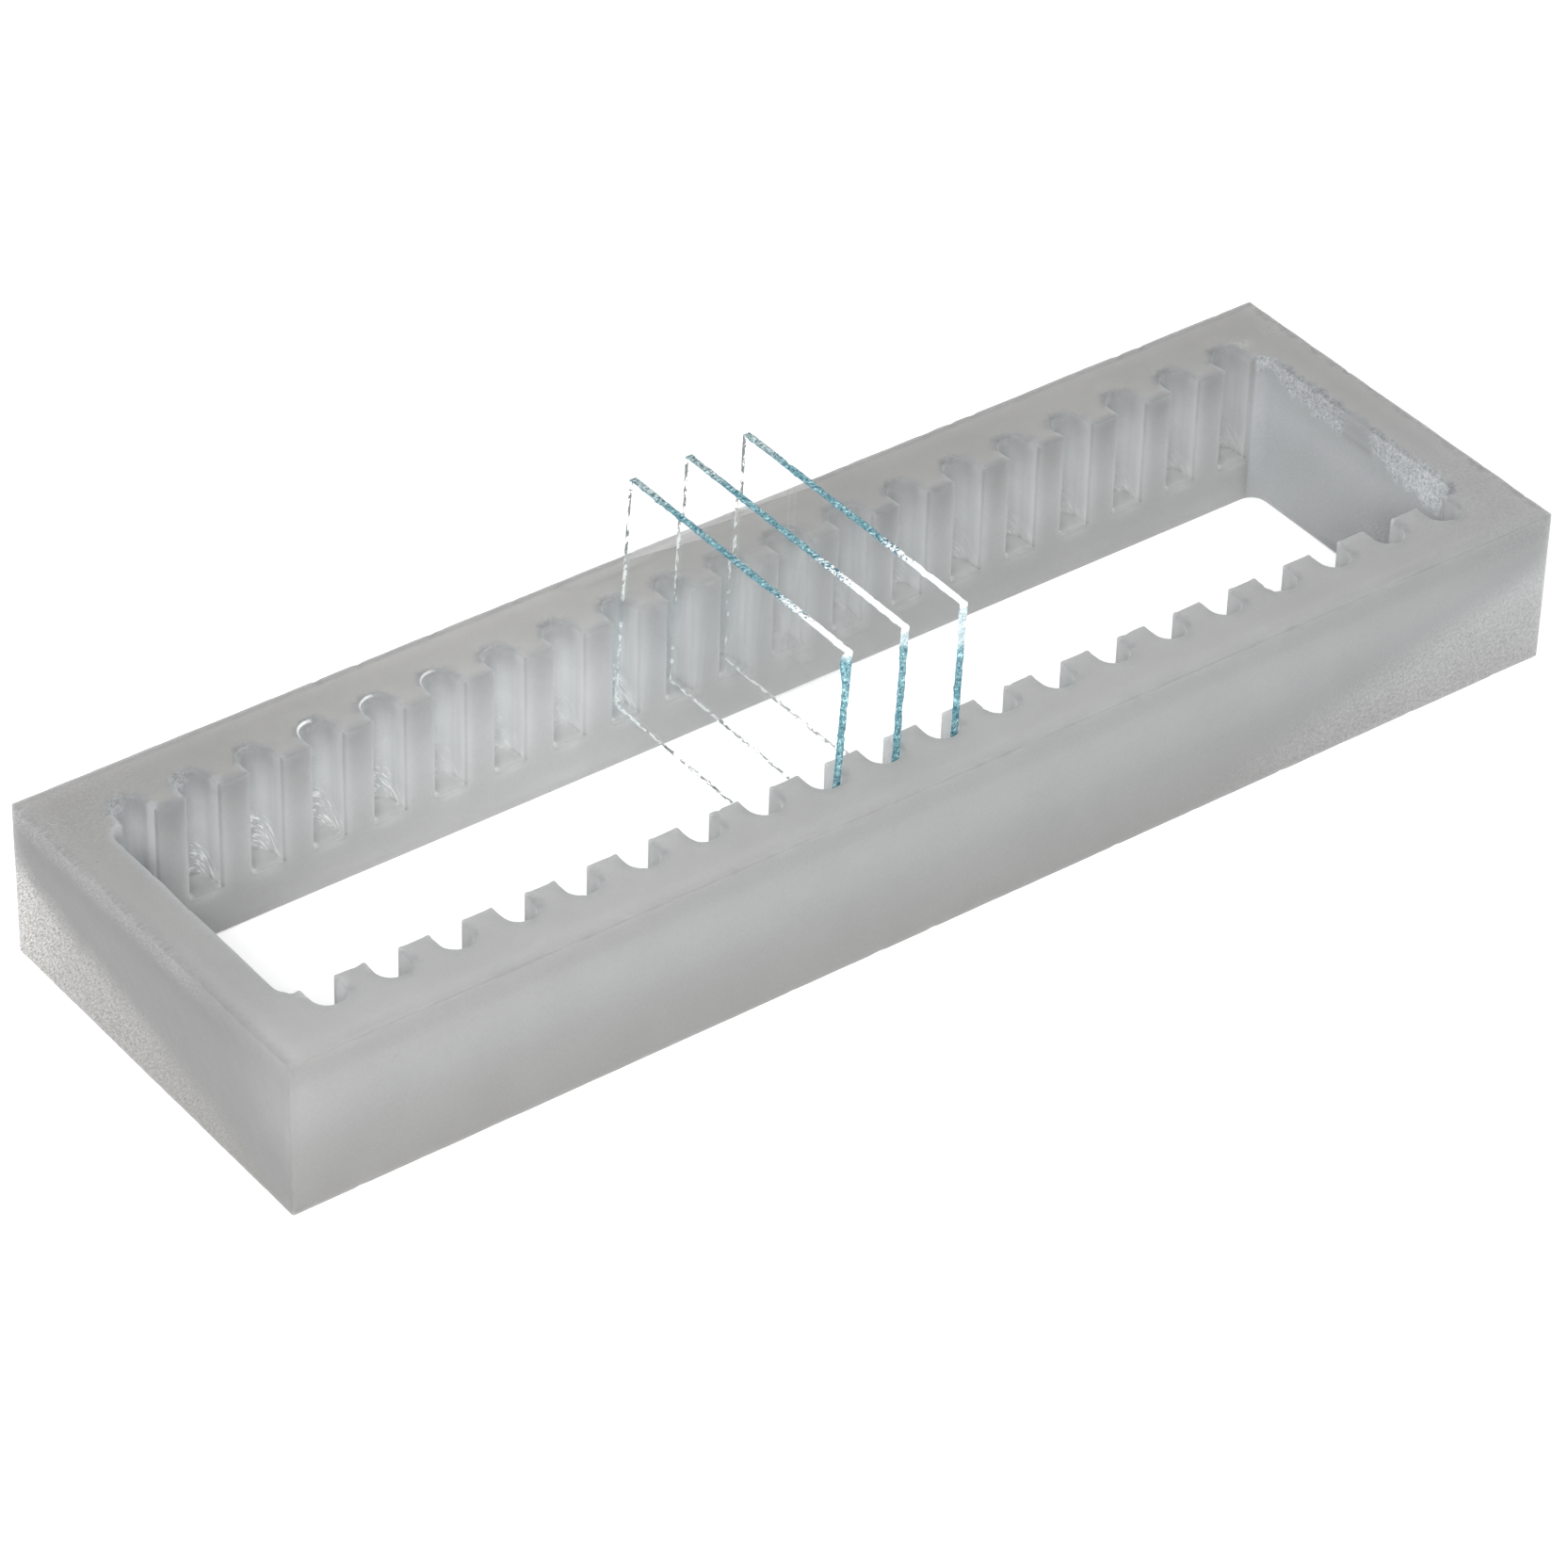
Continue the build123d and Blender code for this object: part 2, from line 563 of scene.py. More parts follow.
# A pale strip along the far edge, behind the plates, with a darker line before it
strip = 0.15 * uneven + profile(x, (-17, 0), (-14, 2.0), (-10, 2.6), (-5, 2.5), (0, 2.0), (10, 1.0),
                                (14, 0.4), (15, 0))
on_strip = y - half_width + strip
pale_strip = smooth(on_strip, -0.15, 0.25) * smooth(strip, 0.2, 0.6)
under_strip = smooth(on_strip, -0.9, -0.3) * smooth(strip, 0.2, 0.6)
top_seen = top_seen * (1 - pale_strip) + 178 * pale_strip - 9 * under_strip * (1 - pale_strip)

# Long inner walls: painted shade darkens each tooth at its rim and painted light makes each slot
# lighter than the teeth; wall_base is lightest to the -X side of the plates, with the light that
# they reflect onto it painted on
wall_base = profile(x, (-76, 168), (-68, 174), (-52, 181), (-36, 189), (-24, 193), (-18, 193), (-12, 190),
                    (-4, 177), (4, 168), (20, 166), (28, 171), (36, 174), (68, 174), (76, 170), (80, 167))
# Next to the plates the painted shade of the slots is cut by more than half, so they are nearly lost
veil = 1 - 0.6 * smooth(x, -10, -5) * smooth(-x, -26, -20)
tooth_shade = veil * profile(z, (0, -7), (5, -5), (8, 0), (11, 5), (12.5, 5), (14, 2), (15.5, -2),
                             (17, -8), (18.2, -12), (20, -15))
side_shade_and_streaks = veil * profile(z, (5, -4), (6, 10), (9.5, 11), (12.5, 10), (15.5, 5), (17, 2), (18.2, -2),
                            (20, -4))
side_shade_and_streaks += 0.8 * fractal(points * (1.0, 1.0, 0.12), 0.7, 33, 2)
round_shade_and_marks = veil * profile(z, (5, -4), (6, 7), (9.5, 9), (12.5, 8), (15.5, 1), (17, -4), (18.2, -7),
                             (20, -9))
tooth_lit = profile(z, (0, 172), (3, 180), (8, 181), (15.5, 178), (17, 178), (18.2, 181), (19.2, 190),
                    (20, 194))
side_lit = profile(z, (0, 178), (5, 187), (5.9, 134), (6.3, 157), (7.4, 165), (9, 167), (11, 164),
                   (14, 161), (17, 163), (18.2, 170), (19.2, 181), (20, 189))
round_lit = profile(z, (5, 158), (5.9, 102), (6.4, 120), (7.4, 125), (9, 131), (11, 129), (13.5, 126),
                    (16, 132), (17.8, 149), (19, 172), (19.6, 186), (20, 196))

# Where a point is in its slot: along the window from the slot's middle, and into the wall
slot_at = np.round(x / slot_pitch + (slot_count + 1) / 2)
beside = x - (slot_at - (slot_count + 1) / 2) * slot_pitch
deep = far - window_half_width
# A slot's round end is darkest at its back and meets the side smoothly
at_back = np.where(near_side, 0.35, smooth(cutter_radius - beside, -0.2, 0.35))
round_lit = side_lit + (round_lit - side_lit) * at_back
round_lit += 5.5 * smooth(-beside, -1.2, 0.3) * far_side - 7 * smooth(-x, 68, 74)
round_lit -= 5 * smooth(-beside, -1.5, -1.1) * smooth(z, 7.5, 9) * smooth(-z, -18.5, -17)
round_lit += 3 * bell(beside, 1.7, 0.15) + 8 * bell(z, 19.7, 0.25) * smooth(-beside, -1.6, -0.6)
round_lit += 6 * bell(z, 19.8, 0.2) - 4 * bell(z, 18.7, 0.6)
side_lit += 6 * smooth(-deep, -1.2, -0.4) - 15 * smooth(-x, 68, 74) - 6 * smooth(-x, 58, 66)
side_lit += 2.5 * bell(x, -20.0, 14.0) + 4 * bell(z, 19.75, 0.25)
side_lit -= profile(z, (5.9, 26), (6.5, 8), (12, 2), (20, 0)) * smooth(deep, 1.1, 1.9)
side_lit += near_side * (10 * smooth(z, 17.8, 19.6) - 9)
tooth_lit += 9 * smooth(2.4 - np.abs(beside), 0.05, 0.35) * smooth(z, ledge + 0.1, ledge + 0.8)
tooth_lit -= 36 * smooth(-x, 60, 76) * smooth(-z, -16, -3) + 5 * smooth(x, 60, 76)
tooth_lit += 5 * bell(z, 19.75, 0.3)

# The near wall's slots show only their mouths, painted as light as the top. The far ones get
# painted shade under the rim, and the first two are bruised white at the back of their rims.
side_shade_and_streaks = np.where(near_side, near_seen - 1 - wall_base, side_shade_and_streaks)
round_shade_and_marks = np.where(near_side, near_seen - 1 - wall_base, round_shade_and_marks)
bruise = np.isin(slot_at, (1, 2)) * smooth(z, 17.3, 18.3) * smooth(-beside, -0.7, 0.1) * far_side
rim_shade = (9 + 5 * smooth(-beside, -0.5, 0.5)) * (1 - 0.7 * smooth(x, 12, 24))
round_shade_and_marks += 20 * bruise - rim_shade * smooth(z, 17.0, 18.6) * far_side
# Painted shade: the ledges a little darker than the wall, more so to -X
ledge_seen = wall_base - 4 - 6 * smooth(-x, 10, 20)
ledge_lit = profile(deep, (0, 176), (1, 168), (1.6, 159), (2.2, 148), (2.9, 134), (4, 128))

# End walls of the window: a torn band under the rim at +X, in two patches
in_patch = smooth(y, 2.3, 3.0) + smooth(-y, 1.6, 2.3)
band_low = profile(y, (-17, 14.6), (-10, 15.6), (-2, 17.2), (2.5, 16.8), (9, 16.6), (15, 18.2), (17, 19))
band_low += 0.9 * uneven + 0.8 * ragged
torn = smooth(z, band_low - 0.3, band_low + 0.3) * in_patch * (x > 70)
torn_lift = 10 * (0.6 + 0.8 * smooth(-y, 0, 12)) + 10 * ragged + 4 * smooth(-y, 0, 3)
# Painted light and shade up the end walls, lightest a little above the middle
wall_seen = profile(z, (0, 164), (5, 165), (9, 168), (13, 174), (16, 169), (18, 165), (20, 163))
wall_seen += 1.5 * blotch + 8 * smooth(-y, -1, 7) * smooth(-z, -9.5, -7) + 4 * smooth(y, 8, 15)
wall_seen += torn * torn_lift - 12 * smooth(z, 19.6, 19.85) * in_patch
wall_seen -= 14 * bell(z, 16.7, 0.35) * smooth(-np.abs(y - 0.3), -3.2, -2.2)
wall_lit = profile(z, (0, 174), (5, 171), (10, 169), (14, 167), (17, 171), (19.2, 184), (20, 192))
wall_lit -= 4 * smooth(y, 13, 15) + 8 * smooth(-y, 8, 14)

past_end = np.abs(x) - half_length
on_end = (kinds == OUTSIDE) & (past_end > -0.8) & (past_end > far - half_width)
on_side = (kinds == SIDE_PLUS) | (kinds == SIDE_MINUS)
in_slot = on_side | (kinds == ROUND)
seen, lit = np.full(len(points), 172.0), np.full(len(points), 185.0)
for where, level, light in (
    (kinds == OUTSIDE, front_seen, front_lit),
    (on_end, end_seen, end_lit),
    (kinds == TOP, top_seen, top_lit),
    (kinds == TOOTH, wall_base + tooth_shade, tooth_lit),
    (on_side, wall_base + side_shade_and_streaks, side_lit),
    (kinds == ROUND, wall_base + round_shade_and_marks, round_lit),
    (kinds == LEDGE, ledge_seen, ledge_lit),
    (kinds == END_WALL, wall_seen, wall_lit),
):
    seen[where], lit[where] = level[where], light[where]
# Walls that face away from the light get painted light, up to a rim that is as light as the top
turned_away = ((kinds == TOOTH) & near_side) | ((kinds == END_WALL) & (x < 0))
seen[turned_away], lit[turned_away] = near_seen[turned_away], 185 + 7 * smooth(z, 19.3, 20)[turned_away]
# Light bounces about inside a slot, so a lighter wall counts there more than once
power = np.where(in_slot | (kinds == LEDGE), 1.6, 2.1)
# The plastic's own tone, with the light and shade painted in
plain_plastic = 0.372
tone_and_shading = plain_plastic * (seen / lit) ** power

# Worn edges turn towards or away from the key light; in plastic this milky that hardly shows, so
# they get painted shade where they turn towards it and painted light where they turn away
normals = np.empty(len(points) * 3)
mesh.vertices.foreach_get("normal", normals)
normals = normals.reshape(-1, 3)
facing = np.zeros_like(normals)
facing[kinds == TOP, 2] = 1.0
for where, axis, sign in (
    (kinds == OUTSIDE, 1, np.sign(y)),
    (on_end, 0, np.sign(x)),
    (kinds == TOOTH, 1, -np.sign(y)),
    (kinds == SIDE_PLUS, 0, -np.ones_like(x)),
    (kinds == SIDE_MINUS, 0, np.ones_like(x)),
):
    facing[where] = 0.0
    facing[where, axis] = sign[where]
curved = np.isin(kinds, (ROUND, END_WALL))
facing[curved] = normals[curved] * (1.0, 1.0, 0.0) + (0.0, 0.0, 1e-6)
facing[curved] /= np.linalg.norm(facing[curved], axis=1)[:, None]
to_key = np.array(key_place) / np.linalg.norm(key_place)


def light_on(normal):
    """How much light a surface gets, from the sky and the key light together."""
    return 0.45 + np.maximum(normal @ to_key, 0.0)


painted_light_balance = light_on(facing) / light_on(normals)
painted_light_balance = np.clip(np.where(painted_light_balance > 1, painted_light_balance**0.6, painted_light_balance**1.15), 0.6, 1.5)
painted_light_balance[np.isin(kinds, (LEDGE, UNDERSIDE)) | turned_away] = 1.0
# The backs and far sides of the slots face away from it too, least of all up at the rim, and
# painted light makes up for it
turned = np.isin(kinds, (ROUND, SIDE_MINUS))
most = 1.7 - 0.55 * near_side * smooth(-z, -18.6, -16.4)
painted_light_balance[turned] *= np.clip((1.0 / light_on(facing[turned])) ** 0.7, 0.85, most[turned])
tone_and_shading = tone_and_shading * painted_light_balance

# Bright crescents where the light catches the far rims of some slots
catch = profile(slot_at, (2, 0), (3, 0.1), (4, 0.7), (5, 0.7), (6, 0.5), (7, 0.1), (8, 0))
catch = catch * smooth(-beside, -0.8, 0.2) * smooth(y, 18.7, 19.5) * turned
catch = catch * smooth(z, height - 0.24, height - 0.12) * smooth(-z, 0.02 - height, 0.05 - height)
tone_and_shading = tone_and_shading * (1 - catch) + catch
paint(mesh, "tone_and_shading", np.clip(tone_and_shading, 0.02, 1.0))

# Cool or warm: cooler deep in the window, warmer on the sawn end and the far rim
cool = np.zeros_like(x)
for where, level in (
    (kinds == OUTSIDE, profile(z, (0, -0.4), (7, 0.0), (12, 0.3), (20, 0.1)) + 0.003 * x),
    (on_end, -0.9 * wedge),
    (kinds == TOP, profile(y, (-17, 0.0), (17, -0.4), (27, -0.6))),
    (in_slot | np.isin(kinds, (TOOTH, LEDGE)), 0.45 * smooth(z, 4, 9) + 0.5 * bruise),
    (kinds == END_WALL, 0.9 + 0.4 * torn),
):
    cool[where] = level[where]
paint(mesh, "cool", cool)

# Where the surface is frosted in grains, sawn in slanting streaks, or scratched by the cutter
far_left = smooth(-x, 66, 80) * smooth(y, 8, 20)
near_right = smooth(x, 66, 80) * smooth(-y, 6, 16)
from_rim_back = np.hypot(np.hypot(beside, y - (window_half_width + slot_reach - 0.1)), z - height)
frost = 0.12 + 0.6 * smooth(-from_rim_back, -1.7, -0.9)
frost += on_end * (0.9 * wedge * smooth(y, -16, 8) + 0.45 * top_strip)
frost += (kinds == ROUND) * 1.4 * bruise + (kinds == END_WALL) * 1.7 * torn
frost += (kinds == TOP) * (1.2 * by_last_slot + 0.45 * far_left + 0.55 * near_right)
on_front = (kinds == OUTSIDE) & ~on_end
frost += on_front * (low_right * smooth(x, 20, 60) + 0.45 * smooth(x, 72, 80) * smooth(z, 15, 18))
paint(mesh, "frost", frost)
sawn = 0.07 + wedge * profile(y, (-24, 0), (-12, 1.0), (14, 1.4), (24, 2.3)) + 0.9 * top_strip
sawn = on_end * (sawn + 0.4 * smooth(y, 18, 26)) * (1 - 0.8 * smooth_patch)
sawn += (kinds == END_WALL) * (0.2 + 0.5 * torn + 0.9 * smooth(-y, -2, 7) * smooth(-z, -9.5, -7))
paint(mesh, "sawn", sawn)
chatter = smooth(7.1 + deep + 0.8 * uneven - z, -0.4, 0.8) * smooth(z, 5.6, 6.2) * in_slot
faint = 0.25 + 0.3 * smooth(-z, -8.0, -6.6) * (slot_at > 12)
paint(mesh, "chatter", chatter * np.where(np.isin(slot_at, (2, 3, 4, 5, 9)), 1.0, faint))


# ---------------------------------------------------------------------------
# Glass plates
# ---------------------------------------------------------------------------
# Where the rows of a plate's edge stand across its thickness
across_glass = np.array([0.0, 0.05, 0.12, 0.22, 0.36, 0.5, 0.64, 0.78, 0.88, 0.95, 1.0])
edge_step = 0.2

# The sides of a plate, going round it from the near foot
FOOT, FAR_EDGE, TOP_EDGE, NEAR_EDGE = range(4)


def perimeter():
    """Points round a plate, (u, v, side): u across it, v up it."""
    w, h = glass_width / 2, glass_height
    corners = ((-w, 0), (w, 0), (w, h), (-w, h))
    found = []
    for side, start in enumerate(corners):
        run = line(start, corners[(side + 1) % 4], edge_step)[:-1]
        found += [(u, v, side) for u, v in run]
    return np.array(found)


def chipped(depth, w, widest):
    """How far a chipped arris cuts in at w of the thickness away from it."""
    return depth * np.clip(1 - w / np.clip(depth * 0.8, 0.06, widest), 0, 1) ** 1.4


def glass_plate(name, number, lean, shift, chip, pale_reach, reflection_from, seed):
    """A plate snapped from a scored sheet: clear faces, chipped and rippled edges."""
    angle = math.radians(lean)
    into_round = glass_width / 2 + abs(shift) - round_start
    rim_x = slot_centre(number) + math.sqrt(cutter_radius**2 - into_round**2) - plate_clearance
    depth = height - ledge
    floor_x = rim_x - depth * math.tan(angle) - glass_thickness / math.cos(angle)
    lift = glass_thickness * math.sin(angle) + plate_clearance
    foot = np.array((floor_x + lift * math.tan(angle), shift, ledge + lift))
    across = np.array((0.0, 1.0, 0.0))
    up = np.array((math.sin(angle), 0.0, math.cos(angle)))
    through = np.array((math.cos(angle), 0.0, -math.sin(angle)))

    u, v, side = perimeter().T
    count = len(u)
    place = np.column_stack((u, v, np.zeros(count)))
    nibble_near = np.maximum(fractal(place, 1.1, seed, 3), 0.0)
    nibble_far = np.maximum(fractal(place, 1.3, seed + 1, 3), 0.0)
    drop = glass_height - v
    chamfer_near = 0.03 + 0.2 * nibble_near + (side == NEAR_EDGE) * chip * 0.6 * bell(drop, 1.8, 1.8)
    chamfer_far = 0.03 + 0.22 * nibble_far
    rows = []
    for w in across_glass:
        place[:, 2] = w
        facets = np.abs(fractal(place * (1.0, 1.0, 2.2), 0.55, seed + 2, 3))
        waves = 0.5 + 0.5 * fractal(place * (1.0, 1.0, 0.6), 3.0, seed + 4, 2)
        inset = 0.01 + 0.05 * facets + 0.06 * waves
        inset = inset + chipped(chamfer_near, w, 0.55) + chipped(chamfer_far, 1 - w, 0.45)
        half = glass_width / 2 - inset
        uu = np.clip(u, -half, half)
        vv = np.clip(v, inset, glass_height - inset)
        rows.append(foot + np.outer(uu, across) + np.outer(vv, up) + w * glass_thickness * through)
    vertices = np.array(rows).reshape(-1, 3)
    last = len(vertices) - 1
    faces = [tuple(range(count)), tuple(range(last, last - count, -1))]
    for r in range(0, last + 1 - count, count):
        for i in range(count):
            j = (i + 1) % count
            faces.append((r + i, r + count + i, r + count + j, r + j))
    plate = add_object(name, [tuple(p * MM) for p in vertices], faces)
    plate_mesh = plate.data
    face_outwards(plate_mesh)
    plate_mesh.materials.append(clear_glass.material)
    plate_mesh.materials.append(glass_edge.material)
    for polygon in plate_mesh.polygons:
        polygon.material_index = 0 if len(polygon.vertices) > 4 else 1

    # The top edge turns white along part of it, a painted reflection; the near edge is pale at its top
    top = smooth(v, glass_height - 0.9, glass_height - 0.4)
    shown_foot = profile(u, (-20, 0.4), (0, 0.6), (20, 0.66))
    shown_far = profile(v, (0, 0.34), (12, 0.36), (15, 0.6), (22, 0.62))
    hidden_edges = [side == FOOT, side == FAR_EDGE]
    layers = {
        "across": np.tile(np.abs(across_glass - 0.5)[:, None] * 2, (1, count)),
        "painted_reflection": top * profile(u - reflection_from, (-3, 1.0), (-0.5, 0.62), (4.5, 0.34), (6.5, 0.0)),
        "pale": (side == NEAR_EDGE) * smooth(-drop, -pale_reach - 1.2, -pale_reach),
        "dull": top * smooth(u, 11.0, 17.0),
        "shown": np.select(hidden_edges, [shown_foot, shown_far], 0.9),
        "ghost": np.select(hidden_edges, [1.0, 1.0], 0.0),
        "over_block": np.select(hidden_edges, [smooth(u, 10.0, 11.5), smooth(-v, -21.0, -19.0)], 0.0),
    }
    for attribute, values in layers.items():
        paint(plate_mesh, attribute, np.broadcast_to(values, (len(across_glass), count)))
    return plate


# ---------------------------------------------------------------------------
# Materials
# ---------------------------------------------------------------------------
def rgb(*levels):
    return (*levels, 1.0)


class Tree:
    """A material's nodes, with short ways to add and join them."""

    def __init__(self, name):
        self.material = bpy.data.materials.new(name)
        self.material.use_nodes = True
        self.nodes = self.material.node_tree.nodes
        self.links = self.material.node_tree.links
        self.nodes.clear()
        # Where a point is on the object, in millimetres
        self.place = self.scaled(self.nodes.new("ShaderNodeTexCoord").outputs["Object"], 1 / MM)

    def put(self, node, key, value):
        """Join a socket to an input, or set the input to a number or colour."""
        if isinstance(value, bpy.types.NodeSocket):
            self.links.new(value, node.inputs[key])
        else:
            node.inputs[key].default_value = value

    def scaled(self, vector, scale):
        node = self.nodes.new("ShaderNodeVectorMath")
        node.operation = "SCALE"
        self.put(node, 0, vector)
        self.put(node, "Scale", scale)
        return node.outputs[0]

    def math(self, operation, a, b=0.0):
        node = self.nodes.new("ShaderNodeMath")
        node.operation = operation
        self.put(node, 0, a)
        self.put(node, 1, b)
        return node.outputs[0]

    def times(self, a, b):
        return self.math("MULTIPLY", a, b)

    def plus(self, total, a, b=None):
        """total + a, or total + a * b"""
        return self.math("ADD", total, a if b is None else self.times(a, b))

    def turned(self, a, b, cosine, sine):
        """One of two coordinates, in axes turned round."""
        return self.plus(self.times(a, cosine), b, sine)

    def linear(self, value, low, high, start=0.0, end=1.0, kind="LINEAR"):
        """start at low and below, end at high and above, and evenly in between."""
        node = self.nodes.new("ShaderNodeMapRange")
        node.interpolation_type = kind
        for key, given in enumerate((value, low, high, start, end)):
            self.put(node, key, given)
        return node.outputs[0]

    def between(self, *given):
        return self.linear(*given, kind="SMOOTHSTEP")

    def noise(self, where, scale, detail=2.0, roughness=0.5, distortion=0.0):
        node = self.nodes.new("ShaderNodeTexNoise")
        self.put(node, "Vector", where)
        self.put(node, "Scale", scale)
        self.put(node, "Detail", detail)
        self.put(node, "Roughness", roughness)
        self.put(node, "Distortion", distortion)
        return node.outputs["Fac"]

    def cells(self, where, scale):
        node = self.nodes.new("ShaderNodeTexVoronoi")
        self.put(node, "Vector", where)
        self.put(node, "Scale", scale)
        return node.outputs["Distance"]

    def mix(self, amount, a, b):
        node = self.nodes.new("ShaderNodeMix")
        node.data_type = "RGBA"
        for key, given in zip((0, 6, 7), (amount, a, b)):
            self.put(node, key, given)
        return node.outputs[2]

    def painted(self, name):
        node = self.nodes.new("ShaderNodeAttribute")
        node.attribute_name = name
        return node.outputs["Fac"]

    def split(self, vector):
        node = self.nodes.new("ShaderNodeSeparateXYZ")
        self.put(node, 0, vector)
        return node.outputs

    def stretched(self, values, scales):
        """A vector of three values, each scaled."""
        node = self.nodes.new("ShaderNodeCombineXYZ")
        for key, (value, scale) in enumerate(zip(values, scales)):
            self.put(node, key, self.times(value, scale))
        return node.outputs[0]

    def bump(self, height, distance, strength=1.0, before=None):
        node = self.nodes.new("ShaderNodeBump")
        self.put(node, "Strength", strength)
        self.put(node, "Distance", distance)
        self.put(node, "Height", height)
        if before is not None:
            self.put(node, "Normal", before)
        return node.outputs["Normal"]

    def shader(self, kind, **inputs):
        node = self.nodes.new("ShaderNodeBsdf" + kind)
        for key, given in inputs.items():
            self.put(node, key.replace("_", " "), given)
        return node.outputs[0]

    def blend(self, amount, a, b):
        node = self.nodes.new("ShaderNodeMixShader")
        for key, given in enumerate((amount, a, b)):
            self.put(node, key, given)
        return node.outputs[0]

    def either_ray(self, a, b):
        path = self.nodes.new("ShaderNodeLightPath").outputs
        return self.math("MAXIMUM", path[f"Is {a} Ray"], path[f"Is {b} Ray"])

    def let_light_by(self, surface, tint):
        """The surface, but shadows and bounced light pass straight through it, tinted."""
        open_air = self.shader("Transparent", Color=tint)
        return self.blend(self.either_ray("Shadow", "Diffuse"), surface, open_air)

    def finish(self, surface):
        output = self.nodes.new("ShaderNodeOutputMaterial")
        self.put(output, "Surface", surface)


# The block: milled and sawn translucent plastic, matt all over
plastic = Tree("frosted_plastic")
p = plastic
# The painted tone: the plastic's own tone with light and shade painted in
tone_and_shading, cool, frost = p.painted("tone_and_shading"), p.painted("cool"), p.painted("frost")
sawn, chatter = p.painted("sawn"), p.painted("chatter")
at_x, at_y, at_z = p.split(p.place)

# Clouds, mottling and grain all over, and coarser grains where it is frosted
cloud = p.noise(p.place, 0.11, 3.0)
mottle = p.noise(p.place, 0.8, 4.0, 0.6)
grain = p.noise(p.place, 4.5, 2.0, 0.7)
speck = p.noise(p.place, 2.6, 5.0, 0.78, 0.4)
shade = p.plus(p.linear(cloud, 0.3, 0.7, 0.98, 1.02), p.linear(mottle, 0.3, 0.7, -0.015, 0.015))
shade = p.plus(shade, p.linear(grain, 0.3, 0.7, -0.03, 0.03))
shade = p.plus(shade, frost, p.linear(speck, 0.35, 0.65, -0.2, 0.24))

# Streaks of the saw, slanting down to +Y
over_saw = p.turned(at_y, at_z, 0.73, 0.68)
with_saw = p.turned(at_z, at_y, 0.73, -0.68)
streak = p.noise(p.stretched((at_x, over_saw, with_saw), (0.3, 4.2, 1.1)), 1.2, 5.0, 0.8, 0.1)
shade = p.plus(shade, sawn, p.linear(streak, 0.38, 0.62, -0.2, 0.24))

# Strokes of the cutter at the foot of a slot
into_wall = p.math("ABSOLUTE", at_y)
across_stroke = p.turned(into_wall, at_z, 0.78, -0.62)
with_stroke = p.turned(into_wall, at_z, 0.62, 0.78)
strokes_at = p.stretched((at_x, across_stroke, with_stroke), (1.2, 4.6, 0.5))
stroke = p.between(p.noise(strokes_at, 1.0, 3.0, 0.6, 0.1), 0.5, 0.66)
scratch = p.times(stroke, chatter)
shade = p.plus(shade, scratch, 0.55)

# A few dark pits
pitted = p.between(p.noise(p.place, 0.13), 0.54, 0.58)
pit = p.times(p.between(p.cells(p.place, 0.3), 0.04, 0.015), pitted)
shade = p.plus(shade, pit, -0.3)

tint = p.mix(p.linear(cool, -1.0, 1.0), rgb(1.02, 1.0, 0.97), rgb(0.965, 1.0, 1.02))
hair = p.noise(p.place, 7.0, 3.0, 0.7)
normal = p.bump(hair, 0.012 * MM)
normal = p.bump(p.times(speck, frost), 0.025 * MM, before=normal)
normal = p.bump(p.times(streak, sawn), 0.018 * MM, before=normal)
normal = p.bump(scratch, 0.04 * MM, before=normal)
p.finish(p.shader(
    "Principled",
    Base_Color=p.scaled(tint, p.times(tone_and_shading, shade)),
    Roughness=p.plus(p.linear(mottle, 0.3, 0.7, 0.50, 0.58), frost, 0.12),
    Normal=normal,
    Subsurface_Weight=1.0,
    Subsurface_Radius=(1.0, 1.0, 1.0),
    Subsurface_Scale=0.008,
))
mesh.materials.append(plastic.material)

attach(block, "rack")
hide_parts("rack_block")

# The glass: clear faces that lamps shine through
clear_glass = Tree("clear_glass")
g = clear_glass
smear = g.noise(g.place, 0.25, 4.0, 0.6)
body = g.shader(
    "Principled",
    Base_Color=rgb(1.0, 1.0, 1.0),
    Roughness=g.linear(smear, 0.5, 0.8, 0.0, 0.05),
    Transmission_Weight=1.0,
    IOR=1.5,
)
g.finish(g.let_light_by(body, rgb(0.998, 1.0, 1.0)))

# Its snapped edges: sea-green where light has come a long way through the sheet
glass_edge = Tree("glass_edge")
g = glass_edge
across_it, painted_reflection, pale = g.painted("across"), g.painted("painted_reflection"), g.painted("pale")
flake = g.noise(g.place, 2.3, 4.0, 0.78, 0.5)
chips = g.cells(g.place, 3.4)
deeper = g.linear(g.noise(g.place, 0.22, 2.0), 0.35, 0.65)
sea = g.mix(deeper, rgb(0.12, 0.30, 0.34), rgb(0.17, 0.34, 0.38))
sea = g.mix(g.between(flake, 0.48, 0.42), sea, rgb(0.035, 0.13, 0.18))
sea = g.mix(g.between(flake, 0.56, 0.62), sea, rgb(0.62, 0.90, 0.96))
grey = g.mix(g.between(flake, 0.42, 0.58), rgb(0.10, 0.14, 0.15), rgb(0.72, 0.76, 0.72))
sea = g.mix(g.times(g.painted("dull"), 0.6), sea, grey)
sea = g.mix(g.between(chips, 0.22, 0.08, 0.0, 0.85), sea, rgb(0.9, 0.98, 1.0))
sea = g.mix(g.between(across_it, 0.6, 1.0, 0.0, 0.7), sea, rgb(0.07, 0.20, 0.28))
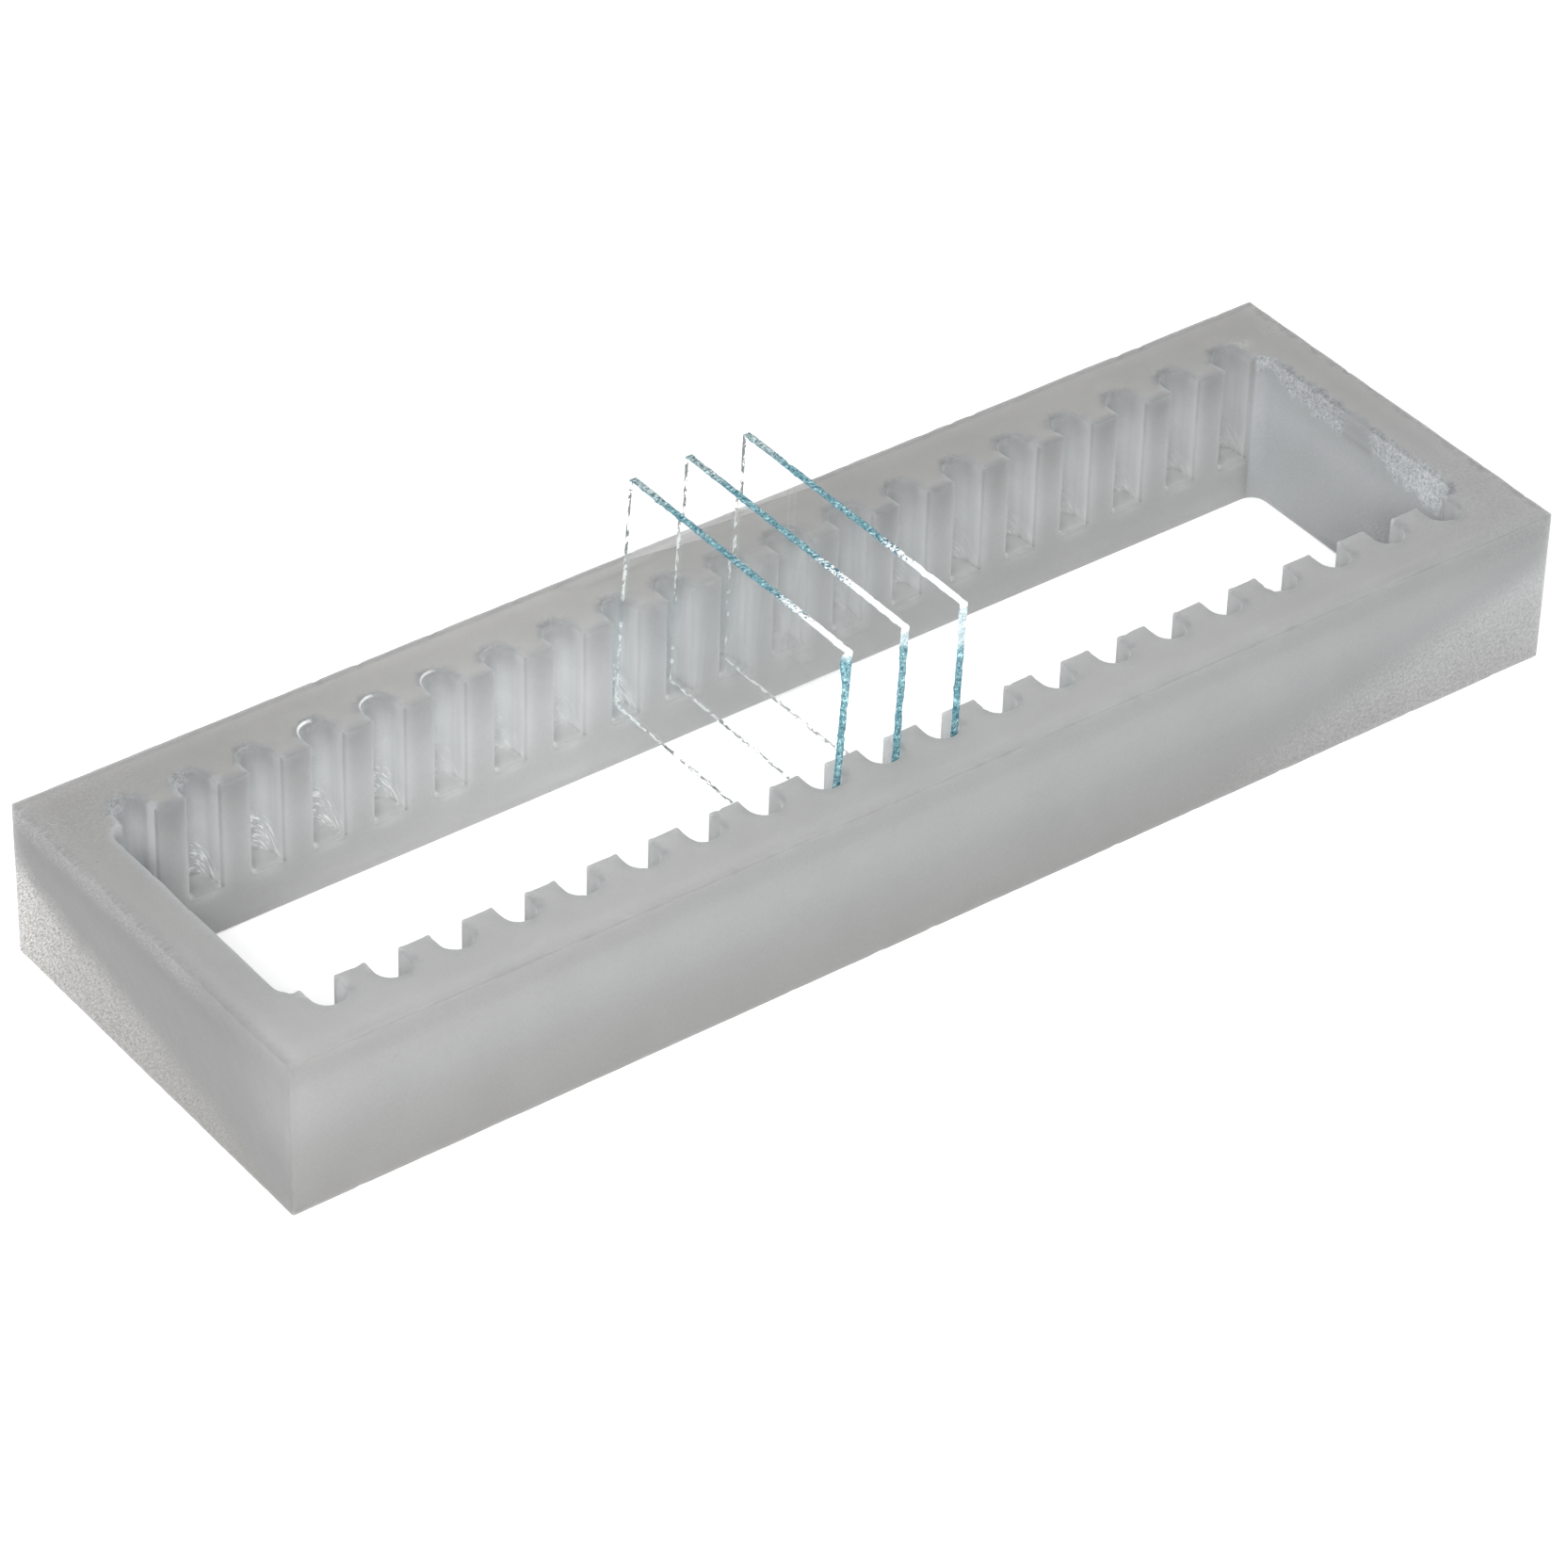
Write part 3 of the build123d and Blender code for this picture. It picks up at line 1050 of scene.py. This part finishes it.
# A painted reflection, bright white with a ragged start, and the pale top of the near edge
flaking = g.linear(flake, 0.35, 0.65, -0.45, 0.45)
reflection_colour = g.mix(g.between(across_it, 0.8, 1.0, 0.0, 0.6), rgb(0.98, 0.98, 0.98), rgb(0.30, 0.48, 0.58))
sea = g.mix(g.between(g.plus(painted_reflection, flaking), 0.45, 0.55), sea, reflection_colour)
sea = g.mix(g.times(pale, g.linear(flake, 0.35, 0.65, 0.35, 0.75)), sea, rgb(0.80, 0.86, 0.88))
outer_face = g.shader(
    "Principled",
    Base_Color=sea,
    Roughness=g.linear(flake, 0.3, 0.7, 0.12, 0.4),
    Normal=g.bump(flake, 0.05 * MM, 0.7),
    IOR=1.5,
)
# From inside the glass the far edge and the foot show only as broken pale lines, painted light
# that stands in for what shows through them: pale grey over the block, dark and white flecks
# over the floor
ghost = g.mix(g.between(flake, 0.56, 0.68), rgb(0.13, 0.15, 0.15), rgb(0.9, 0.93, 0.93))
ghost = g.mix(g.painted("over_block"), ghost, rgb(0.72, 0.76, 0.76))
inner_colour = g.mix(g.painted("ghost"), sea, ghost)
dashes = g.linear(g.noise(g.place, 1.1, 3.0, 0.6), 0.3, 0.7, -0.5, 0.5)
solid = g.between(g.plus(g.painted("shown"), dashes), 0.5, 0.58)
line_seen = g.shader("Principled", Base_Color=inner_colour, Roughness=0.5)
inner_face = g.blend(solid, g.shader("Transparent"), line_seen)
from_inside = g.nodes.new("ShaderNodeNewGeometry").outputs["Backfacing"]
g.finish(g.let_light_by(g.blend(from_inside, outer_face, inner_face), rgb(0.75, 0.85, 0.86)))

for seed, (side, values) in enumerate(plates.items()):
    plate = glass_plate("snapped_glass_" + side, *values, 40 + 7 * seed)
    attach(plate, side + "_plate")
    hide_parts("glass_plate_" + side)

# ---------------------------------------------------------------------------
# Floor, light, camera
# ---------------------------------------------------------------------------
floor_reach = 3.0
floor_z = -0.0002  # clear of the underside
corners = [(-floor_reach, -floor_reach), (floor_reach, -floor_reach), (floor_reach, floor_reach),
           (-floor_reach, floor_reach)]
floor = add_object("floor", [(a, b, floor_z) for a, b in corners], [(0, 1, 2, 3)])
# White paper, a little brighter to look at than in the light that it gives back
paper = Tree("pale_floor")
looked_at = paper.either_ray("Camera", "Transmission")
paper.finish(paper.shader(
    "Principled",
    Base_Color=rgb(0.97, 0.97, 0.97),
    Roughness=0.9,
    Emission_Color=rgb(1.0, 1.0, 1.0),
    Emission_Strength=paper.times(looked_at, 0.27),
))
floor.data.materials.append(paper.material)

world = bpy.data.worlds.new("studio")
bpy.context.scene.world = world
world.use_nodes = True
sky = world.node_tree.nodes["Background"].inputs
sky["Color"].default_value = rgb(1.0, 1.0, 1.0)
sky["Strength"].default_value = sky_strength

# One big soft lamp, aimed at the middle of the block's foot
lamp = bpy.data.lights.new("key", "AREA")
lamp.size = key_size
lamp.energy = key_power
key = bpy.data.objects.new("key", lamp)
key.location = key_place
key.rotation_euler = (-Vector(key_place)).to_track_quat("-Z", "Y").to_euler()
bpy.context.scene.collection.objects.link(key)

# The camera's place in metres, its lens, and which way is right, down and ahead for it
camera_place = (-0.36783, -0.47442, 0.45737)
camera_right = Vector((0.80237, -0.59643, 0.02197))
camera_down = Vector((-0.34664, -0.49566, -0.79634))
camera_ahead = Vector((0.48585, 0.63134, -0.60445))
camera_data = bpy.data.cameras.new("camera")
camera_data.lens = 154.61
camera_data.sensor_width = 36.0
camera_data.clip_start = 0.01
camera = bpy.data.objects.new("camera", camera_data)
bpy.context.scene.collection.objects.link(camera)
turn = Matrix((camera_right, -camera_down, -camera_ahead)).transposed()
camera.matrix_world = Matrix.Translation(camera_place) @ turn.to_4x4()
bpy.context.scene.camera = camera
bpy.context.scene.view_settings.view_transform = "Standard"
